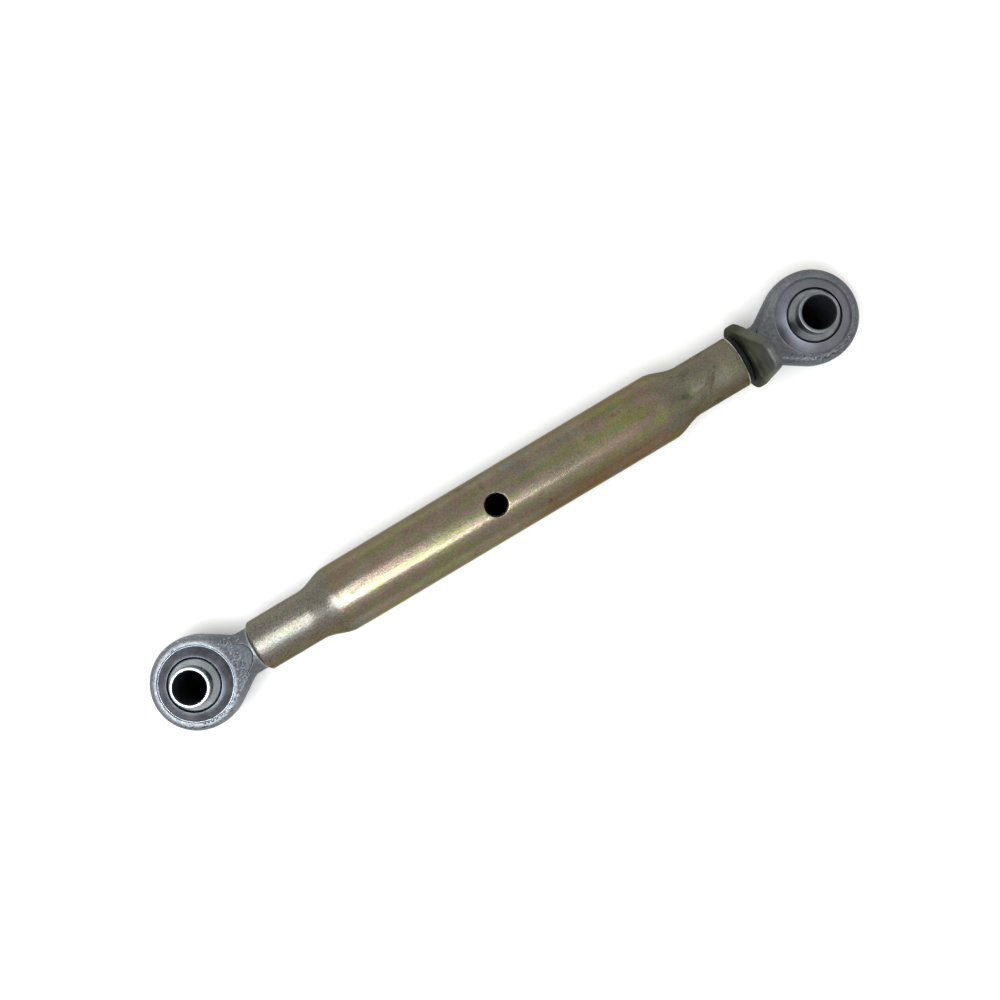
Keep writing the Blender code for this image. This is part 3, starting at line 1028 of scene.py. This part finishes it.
def seatOutline(dome):
    form = seatForm
    inside = ballRadius + form["runGap"]
    outside = inside + form["wall"]
    split = form["runGap"] / 2
    high = acos(form["lipRadius"] / inside)
    outline = arcPoints(0, 0, inside, asin(split / inside), high, 18)
    edge = form["edge"]
    outline += arcPoints(form["lipRadius"] + edge, form["lipHeight"] - edge, edge, pi, pi / 2, 4)
    landEnd = form["lipRadius"] + form["lipLand"]
    coneEnd = outside - form["rimWidth"]
    drop = form["lipHeight"] - form["rimHeight"]
    for i in range(form["coneSteps"] + 1):
        share = i / form["coneSteps"]
        radius = landEnd + (coneEnd - landEnd) * share
        outline.append((radius, form["lipHeight"] - drop * share + dome * sin(pi * share)))
    outline += arcPoints(outside - edge, form["rimHeight"] - edge, edge, pi / 2, 0, 4)
    outline.append((outside, split))
    return outline


def buildSeatRing(end, layer, ballX, side, dome, material, rimMaterial):
    form = seatForm
    bm = turnedMesh(seatOutline(dome), form["roundSteps"])
    rimStart = ballRadius + form["runGap"] + form["wall"] - form["rimWidth"]
    markFaces(bm, lambda at: hypot(at.x, at.y) > rimStart)
    if side < 0:
        bm.transform(Matrix.Rotation(pi, 4, "X"))
    ring = newPiece(f"{end}_{layer}_seat", bm, (ballX, 0, axisHeight), [material, rimMaterial])
    seatOnBody(ring, f"{end}_end", f"{end}_{layer}_seat_ring")


# Balls: sphere and sleeve in one piece

ballForm = {
    "boreRadius": 9.65 * mm,
    "sleeveWall": 2.25 * mm,
    "fillet": 1.5 * mm,
    "edge": 0.65 * mm,
    "darkMouth": 0.6 * mm,
    "roundSteps": 160,
}


def ballOutline():
    form = ballForm
    sleeve = form["boreRadius"] + form["sleeveWall"]
    filletX = sleeve + form["fillet"]
    filletZ = sqrt((ballRadius + form["fillet"]) ** 2 - filletX**2)
    join = atan2(filletZ, filletX)
    edge = form["edge"]
    upper = arcPoints(filletX, filletZ, form["fillet"], join - pi, -pi, 8)[1:]
    upper += arcPoints(sleeve - edge, ballHalfWidth - edge, edge, 0, pi / 2, 5)
    upper += arcPoints(form["boreRadius"] + edge, ballHalfWidth - edge, edge, pi / 2, pi, 5)
    lower = [(radius, -height) for radius, height in reversed(upper)]
    return lower + arcPoints(0, 0, ballRadius, -join, join, 40) + upper


def buildBall(end, ballX, material, boreMaterial):
    bm = turnedMesh(ballOutline(), ballForm["roundSteps"])
    # The bore and a thin band round its mouth take the bore's near-black colour: painted shade
    mouth = ballForm["boreRadius"] + ballForm["darkMouth"]
    markFaces(bm, lambda at: hypot(at.x, at.y) < mouth)
    ball = newPiece(f"{end}_sleeved_ball", bm, (ballX, 0, axisHeight), [material, boreMaterial])
    seatOnBody(ball, f"{end}_ball", f"{end}_ball")


# Seal ring: black rubber between the barrel's end and the lock nut

sealForm = {
    "threadBore": 11.3 * mm,
    "edge": 0.8 * mm,
    "roundSteps": 120,
}


def buildSealRing():
    form = sealForm
    half = (sealBox[1].x - sealBox[0].x) / 2
    edge = form["edge"]
    rim = sealBox[1].z - axisHeight - edge
    outline = [(form["threadBore"], -half)]
    outline += arcPoints(rim, edge - half, edge, -pi / 2, 0, 6)
    outline += arcPoints(rim, half - edge, edge, 0, pi / 2, 6)
    outline.append((form["threadBore"], half))
    bm = turnedMesh(outline, form["roundSteps"])
    bm.transform(alongLink)
    middle = ((sealBox[0].x + sealBox[1].x) / 2, 0, axisHeight)
    ring = newPiece("rubber_seal_ring", bm, middle, [blackRubber()])
    seatOnBody(ring, "seal_ring", "seal_ring")


# Lock nut drawn out into a lever

nutForm = {
    "radius": 20.5 * mm,
    "reach": 59.0 * mm,
    "tipWidth": 18.0 * mm,
    "tipThickness": 5.5 * mm,
    "tipRound": 6.5 * mm,
    "lean": radians(6.8),
    "barrelSideEdge": 1.6 * mm,
    "eyeSideEdge": 3.1 * mm,
    "eyeSideTipEdge": 2.0 * mm,
    "bore": 11.3 * mm,
    "boreChamfer": 0.8 * mm,
    "waviness": 0.12 * mm,
    "coarseSkin": 120,
    "fineSkin": 380,
    "sidePoints": (44, 8, 44),
    "rings": 46,
    "edgeRings": 7,
}


def leverOutline(inset):
    # The lever's outline seen along the link, moved inwards by inset
    form = nutForm
    tip = form["tipRound"]
    cornerX = form["tipWidth"] / 2 - tip
    cornerY = form["reach"] - tip
    flank = atan2(cornerY, cornerX) - acos((form["radius"] - tip) / hypot(cornerX, cornerY))
    disc = arcPoints(0, 0, form["radius"] - inset, pi - flank, tau + flank, 150)
    right = arcPoints(cornerX, cornerY, tip - inset, flank, pi / 2, 16)
    left = arcPoints(-cornerX, cornerY, tip - inset, pi / 2, pi - flank, 16)
    return evenSides([disc, right, left])


def evenSides(arcs):
    # Adds points along the straight sides between the arcs, the same number for every inset
    sidePoints = nutForm["sidePoints"]
    outline = []
    for index, points in enumerate(arcs):
        outline += points
        start = Vector(points[-1])
        end = Vector(arcs[(index + 1) % len(arcs)][0])
        for i in range(1, sidePoints[index]):
            outline.append(tuple(start.lerp(end, i / sidePoints[index])))
    return outline


def leverThickness(y):
    form = nutForm
    full = nutBox[1].x - nutBox[0].x
    start = form["bore"] + 0.3 * mm
    slope = (full - form["tipThickness"]) / (form["reach"] - start)
    return full - slope * max(y - start, 0)


def edgeRound(y, side):
    # Radius of the worn edge: small on the barrel's side, large on the eye's side of the disc
    form = nutForm
    if side == 0:
        return form["barrelSideEdge"]
    share = ease((y - form["radius"] / 2) / (form["reach"] - form["radius"]))
    return form["eyeSideEdge"] + (form["eyeSideTipEdge"] - form["eyeSideEdge"]) * share


def buildLockNut():
    form = nutForm
    outer = leverOutline(0)
    nearOuter = leverOutline(1 * mm)
    bm = bmesh.new()
    rings = []
    chamfer = form["boreChamfer"]

    def addRing(points, side, sinks):
        # side 1 is the face towards the eye, 0 the face towards the barrel
        ring = []
        for (x, y), sink in zip(points, sinks):
            z = leverThickness(y) - sink if side else sink
            ring.append(bm.verts.new((x, y, z)))
        rings.append(ring)

    def roundedRing(side, turn):
        # A ring on the worn edge: turn runs from 0 on the face to pi / 2 on the rim
        points = []
        sinks = []
        for (x, y), (nearX, nearY) in zip(outer, nearOuter):
            edge = edgeRound(y, side)
            inset = edge * (1 - sin(turn)) / mm
            points.append((x + (nearX - x) * inset, y + (nearY - y) * inset))
            sinks.append(edge * (1 - cos(turn)))
        return points, sinks

    def borePoints(radius, outline):
        points = []
        for x, y in outline:
            away = hypot(x, y)
            points.append((x / away * radius, y / away * radius))
        return points

    flat = [0] * len(outer)
    count = form["rings"]
    for side in (1, 0):
        inner = roundedRing(side, 0)[0]
        boreAt = borePoints(form["bore"] + chamfer, inner)
        bands = [(borePoints(form["bore"], inner), [chamfer] * len(outer))]
        for i in range(count + 1):
            share = i / count
            points = []
            for (ax, ay), (bx, by) in zip(boreAt, inner):
                points.append((ax + (bx - ax) * share, ay + (by - ay) * share))
            bands.append((points, flat))
        for i in range(1, form["edgeRings"] + 1):
            bands.append(roundedRing(side, pi / 2 * i / form["edgeRings"]))
        if side == 0:
            bands.reverse()
        for points, sinks in bands:
            addRing(points, side, sinks)
    for lower, upper in zip(rings, rings[1:] + rings[:1]):
        for i in range(len(lower)):
            j = (i + 1) % len(lower)
            bm.faces.new((lower[i], lower[j], upper[j], upper[i]))
    bmesh.ops.remove_doubles(bm, verts=bm.verts, dist=0.01 * mm)
    bmesh.ops.recalc_face_normals(bm, faces=bm.faces)
    bm.transform(alongLink @ Matrix.Rotation(form["lean"], 4, "Z"))
    nut = newPiece("lever_lock_nut", bm, (nutBox[0].x, 0, axisHeight), [castZinc()], 40)

    def castSkin(point, normal):
        if hypot(point.y, point.z) < form["bore"] + 0.05 * mm:
            return 0
        wave = noise.noise(point * form["coarseSkin"]) * 0.7 + noise.noise(point * form["fineSkin"]) * 0.3
        return -form["waviness"] * (0.5 + 0.5 * wave)

    pushAlongNormals(nut, castSkin)
    seatOnBody(nut, "lock_nut", "lock_nut")


# Floor, light and camera

studio = {
    "floorSize": 12,
    "floorColour": (0.74, 0.72, 0.69),
    "skyStrength": 1.10,
    "lightColour": (0.86, 0.93, 1.0),
    "cameraAboveAxis": 690 * mm,
    "cameraOffset": (-2.16 * mm, 1.3 * mm),
    "fieldOfView": radians(46.4),
    "roll": radians(-30.81),
}


def buildFloor():
    bm = bmesh.new()
    half = studio["floorSize"] / 2
    corners = [(-half, -half), (half, -half), (half, half), (-half, half)]
    bm.faces.new([bm.verts.new((x, y, -0.1 * mm)) for x, y in corners])
    material, shader = newMaterial("pale floor", specular=0.1)
    setSurface(shader, studio["floorColour"], 0.95)
    newPiece("pale_floor", bm, materials=[material])


# Near-black discs under the holes: painted shadow
holeShadowDiscs = {
    "colour": (0.006, 0.006, 0.007),
    "rise": 2.0 * mm,
    "boreRadius": 9.6 * mm,
    "barHoleRadius": 6.9 * mm,
    "roundSteps": 48,
}


def buildHoleShadowDisc(body, x, holeDepth, radius, material):
    # A near-black disc closes a hole's lower end, moving with it: painted shadow seen through the hole
    bm = bmesh.new()
    rim = arcPoints(0, 0, radius, 0, tau, holeShadowDiscs["roundSteps"])[:-1]
    bm.faces.new([bm.verts.new((x, y, 0)) for x, y in rim])
    height = axisHeight - holeDepth + holeShadowDiscs["rise"]
    disc = newPiece(f"painted_shadow_disc_{body}", bm, (x, 0, height), [material])
    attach(disc, body)


softBoxes = (
    # name, place, point that it faces, size, turn in degrees, power
    ("long strip", (-0.24, -0.68, 1.5), (-0.24, -0.68, 0), (0.50, 0.13), -14, 7),
    ("left strip", (-0.47, 0.0, 1.5), (-0.47, 0.0, 0), (0.17, 1.00), 8, 16),
    ("low left panel", (-1.35, -0.35, 1.5), (-0.35, -0.20, 0), (1.10, 0.60), 90, 5),
    ("far left strip", (-0.92, -0.08, 1.5), (-0.92, -0.08, 0), (0.18, 0.50), 0, 3.6),
    ("soft panel", (-0.24, -0.33, 1.52), (-0.24, -0.33, 0), (0.40, 0.36), -30, 1.6),
    ("upper panel", (-0.25, 1.70, 1.5), (-0.25, 1.70, 0), (1.60, 1.20), 0, 1.2),
    ("lower panel", (-0.20, -1.50, 1.5), (-0.20, -1.50, 0), (1.80, 1.00), 0, 1.7),
)


def buildSoftBox(name, place, aim, size, turn, power):
    # The turn is about the light's own beam
    data = bpy.data.lights.new(name, "AREA")
    data.shape = "RECTANGLE"
    data.size, data.size_y = size
    data.energy = power
    data.color = studio["lightColour"]
    light = bpy.data.objects.new(name, data)
    bpy.context.scene.collection.objects.link(light)
    light.location = place
    beam = (Vector(aim) - Vector(place)).to_track_quat("-Z", "Y")
    light.rotation_euler = (beam.to_matrix().to_4x4() @ Matrix.Rotation(radians(turn), 4, "Z")).to_euler()


def setSky():
    world = bpy.data.worlds.new("studio")
    world.use_nodes = True
    sockets = world.node_tree.nodes["Background"].inputs
    feed(sockets["Color"], (1, 1, 1))
    feed(sockets["Strength"], studio["skyStrength"])
    bpy.context.scene.world = world


def setCamera():
    data = bpy.data.cameras.new("photo camera")
    data.sensor_width = 36
    data.angle = studio["fieldOfView"]
    camera = bpy.data.objects.new("photo camera", data)
    bpy.context.scene.collection.objects.link(camera)
    x, y = studio["cameraOffset"]
    camera.location = (x, y, axisHeight + studio["cameraAboveAxis"])
    camera.rotation_euler = (0, 0, studio["roll"])
    bpy.context.scene.camera = camera


print("finishes")
# The two forged zinc copies differ in brightness as painted light: the left end is lit more
leftForgedZinc = forgedZinc("forged zinc left", leftForgedLook)
rightForgedZinc = forgedZinc("forged zinc right", rightForgedLook)
# The left and right copies of the edge, seat and ball zinc differ in brightness partly as painted light
# and shade, each matched to how its end is lit, and partly in roughness
edgeZinc = machinedZinc("cut edge zinc", (0.26, 0.28, 0.30), (0.40, 0.42, 0.44), 0.25, 0.38)
dullAndShadedEdgeZinc = machinedZinc("dull and shaded edge zinc", (0.13, 0.135, 0.15), (0.20, 0.205, 0.22), 0.4, 0.5)
leftSeatZinc = machinedZinc("left seat zinc", (0.044, 0.047, 0.055), (0.112, 0.115, 0.128), 0.30, 0.42)
rightSeatZinc = machinedZinc("right seat zinc", (0.112, 0.115, 0.129), (0.154, 0.157, 0.174), 0.40, 0.50)
leftBallZinc = machinedZinc("left ball zinc", (0.21, 0.235, 0.245), (0.315, 0.34, 0.35), 0.22, 0.34)
rightBallZinc = machinedZinc("right ball zinc", (0.112, 0.122, 0.130), (0.200, 0.212, 0.224), 0.30, 0.42)
# Near-black colour inside the pin bores: painted shade
boreZinc = paintedShadeInside("bore painted shade", (0.007, 0.008, 0.010), (0.014, 0.015, 0.018))

print("barrel")
buildBarrel()

print("eye forgings")
buildEye("left", leftBallX, 0, -1, leftEyeForm, leftForgedZinc, edgeZinc)
buildEye("right", rightBallX, pi, 1, rightEyeForm, rightForgedZinc, dullAndShadedEdgeZinc)

print("seat rings and balls")
ends = (
    ("left", leftBallX, 0.8 * mm, leftSeatZinc, edgeZinc, leftBallZinc),
    ("right", rightBallX, 0.3 * mm, rightSeatZinc, dullAndShadedEdgeZinc, rightBallZinc),
)
for end, ballX, dome, seatZinc, rimZinc, ballZinc in ends:
    for layer, side in (("front", 1), ("rear", -1)):
        buildSeatRing(end, layer, ballX, side, dome, seatZinc, rimZinc)
    buildBall(end, ballX, ballZinc, boreZinc)

print("seal ring and lock nut")
buildSealRing()
buildLockNut()

print("floor, light and camera")
buildFloor()
# Material of the painted shadow discs under the holes
darkMaterial, darkShader = newMaterial("painted hole shadow", specular=0.1)
setSurface(darkShader, holeShadowDiscs["colour"], 0.9)
barHoleX = (barrelBox[0].x + barrelBox[1].x) / 2
for body, x, holeDepth, radius in (
    ("left_ball", leftBallX, ballHalfWidth, holeShadowDiscs["boreRadius"]),
    ("barrel", barHoleX, barrelRadius, holeShadowDiscs["barHoleRadius"]),
    ("right_ball", rightBallX, ballHalfWidth, holeShadowDiscs["boreRadius"]),
):
    buildHoleShadowDisc(body, x, holeDepth, radius, darkMaterial)
setSky()
for light in softBoxes:
    buildSoftBox(*light)
setCamera()
bpy.context.scene.view_settings.view_transform = "Standard"
